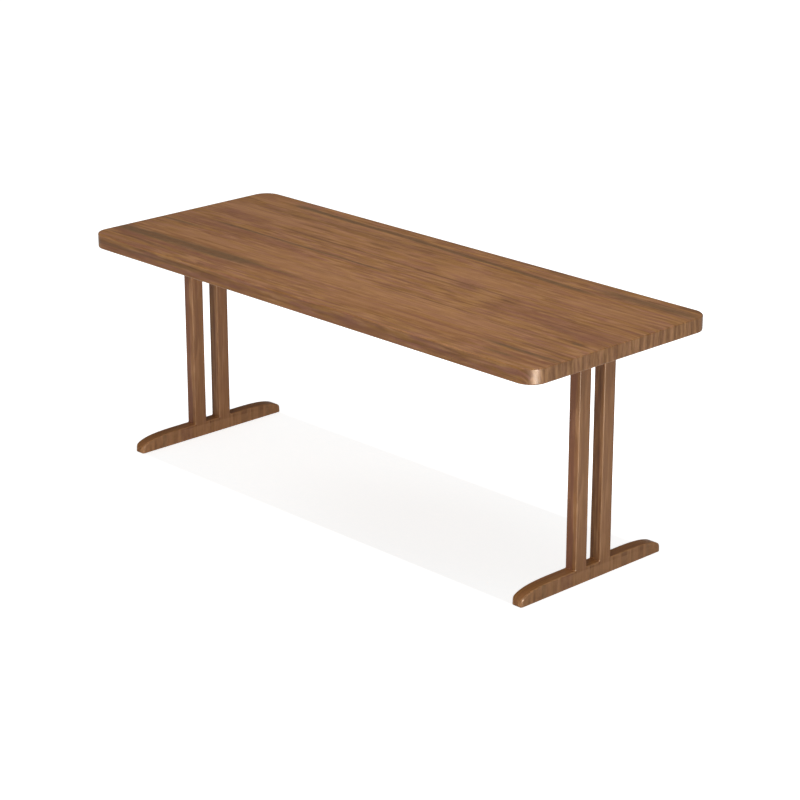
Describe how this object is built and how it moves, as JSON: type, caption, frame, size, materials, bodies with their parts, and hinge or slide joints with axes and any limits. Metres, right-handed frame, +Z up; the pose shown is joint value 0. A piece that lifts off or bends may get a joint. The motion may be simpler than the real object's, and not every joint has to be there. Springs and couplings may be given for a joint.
{
  "type": "rectangular desk",
  "caption": "Rectangular walnut desk with a thick rounded slab top on two trestles, each of twin uprights on a curved foot, tied by a rail under the top.",
  "frame": {"origin": "on the floor, at the middle of the desk in plan", "axes": "+X along the length, -Y is the front, +Z up"},
  "size_m": [1.925, 0.745, 0.74],
  "materials": {
    "tabletop_walnut": "oiled walnut, satin, grain along the length",
    "foot_walnut": "oiled walnut, satin",
    "upright_walnut": "oiled walnut, satin, grain upright",
    "bearer_walnut": "oiled walnut, satin",
    "rail_walnut": "oiled walnut, satin",
    "zinc_steel": "zinc plated",
    "brass": "plain brass",
    "beech": "bare turned beech",
    "glide_nylon": "matte brown nylon"
  },
  "bodies": {
    "root": {"tabletop": "tabletop_walnut", "centre_rail": "rail_walnut", "left_foot": "foot_walnut", "left_bearer": "bearer_walnut", "left_front_upright": "upright_walnut", "left_back_upright": "upright_walnut", "left_front_glide": "glide_nylon", "left_back_glide": "glide_nylon", "right_foot": "foot_walnut", "right_bearer": "bearer_walnut", "right_front_upright": "upright_walnut", "right_back_upright": "upright_walnut", "right_front_glide": "glide_nylon", "right_back_glide": "glide_nylon", "left_top_bolt_1": "zinc_steel", "left_top_washer_1": "zinc_steel", "left_insert_1": "brass", "left_top_bolt_2": "zinc_steel", "left_top_washer_2": "zinc_steel", "left_insert_2": "brass", "left_top_bolt_3": "zinc_steel", "left_top_washer_3": "zinc_steel", "left_insert_3": "brass", "left_top_bolt_4": "zinc_steel", "left_top_washer_4": "zinc_steel", "left_insert_4": "brass", "left_end_bolt": "zinc_steel", "left_end_washer": "zinc_steel", "left_barrel_nut": "zinc_steel", "left_lower_dowel": "beech", "left_upper_dowel": "beech", "right_top_bolt_1": "zinc_steel", "right_top_washer_1": "zinc_steel", "right_insert_1": "brass", "right_top_bolt_2": "zinc_steel", "right_top_washer_2": "zinc_steel", "right_insert_2": "brass", "right_top_bolt_3": "zinc_steel", "right_top_washer_3": "zinc_steel", "right_insert_3": "brass", "right_top_bolt_4": "zinc_steel", "right_top_washer_4": "zinc_steel", "right_insert_4": "brass", "right_end_bolt": "zinc_steel", "right_end_washer": "zinc_steel", "right_barrel_nut": "zinc_steel", "right_lower_dowel": "beech", "right_upper_dowel": "beech", "rail_bolt_1": "zinc_steel", "rail_washer_1": "zinc_steel", "rail_insert_1": "brass", "rail_bolt_2": "zinc_steel", "rail_washer_2": "zinc_steel", "rail_insert_2": "brass", "rail_bolt_3": "zinc_steel", "rail_washer_3": "zinc_steel", "rail_insert_3": "brass"}
  },
  "joints": []
}
